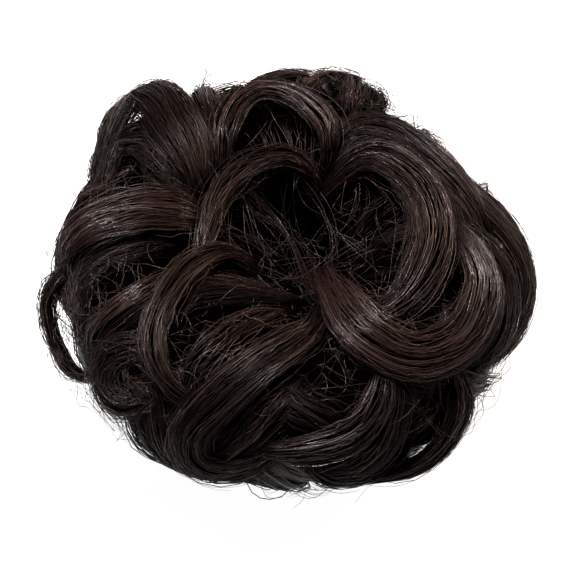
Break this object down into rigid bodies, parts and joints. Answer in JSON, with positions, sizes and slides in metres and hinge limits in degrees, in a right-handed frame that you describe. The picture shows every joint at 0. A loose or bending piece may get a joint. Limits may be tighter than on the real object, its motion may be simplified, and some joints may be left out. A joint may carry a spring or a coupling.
{
  "type": "top knot hairpiece",
  "caption": "Stretch hairpiece for a messy bun: an elastic loop in a sewn ring of hair, heaped with loose curled locks.",
  "frame": {"origin": "centre of the elastic loop, on the surface that the piece lies on", "axes": "+Z out of the loop and up from the surface, +X to the right and +Y to the back as the piece lies in the picture"},
  "size_m": [0.1499, 0.1438, 0.0644],
  "materials": {
    "hair": "near-black brown synthetic hair in smooth curled strands with a soft satin sheen",
    "elastic": "black knitted elastic band, matt"
  },
  "bodies": {
    "root": {"back_arc": "hair", "back_loop": "hair", "back_tuft": "hair", "bridge_left": "hair", "crest_front_right": "hair", "crest_right": "hair", "dip_front": "hair", "edge_front_left": "hair", "edge_left": "hair", "edge_right": "hair", "elastic_band": "elastic", "fall_front": "hair", "fall_right": "hair", "fan_lower": "hair", "fan_upper": "hair", "hook_inner": "hair", "inner_lock_1": "hair", "inner_lock_10": "hair", "inner_lock_11": "hair", "inner_lock_12": "hair", "inner_lock_13": "hair", "inner_lock_14": "hair", "inner_lock_2": "hair", "inner_lock_3": "hair", "inner_lock_4": "hair", "inner_lock_5": "hair", "inner_lock_6": "hair", "inner_lock_7": "hair", "inner_lock_8": "hair", "inner_lock_9": "hair", "leg_back": "hair", "lobe_back_left": "hair", "lobe_front": "hair", "lobe_front_right": "hair", "lobe_front_right_inner": "hair", "nape_left": "hair", "rim_left": "hair", "ring_back": "hair", "roof_back": "hair", "sewn_ring": "hair", "skirt_lock_1": "hair", "skirt_lock_10": "hair", "skirt_lock_11": "hair", "skirt_lock_12": "hair", "skirt_lock_2": "hair", "skirt_lock_3": "hair", "skirt_lock_4": "hair", "skirt_lock_5": "hair", "skirt_lock_6": "hair", "skirt_lock_7": "hair", "skirt_lock_8": "hair", "skirt_lock_9": "hair", "swag_front": "hair", "swag_front_right": "hair", "sweep_right_lower": "hair", "sweep_right_upper": "hair", "swirl_left": "hair", "wave_left": "hair", "wave_left_under": "hair"}
  },
  "joints": []
}
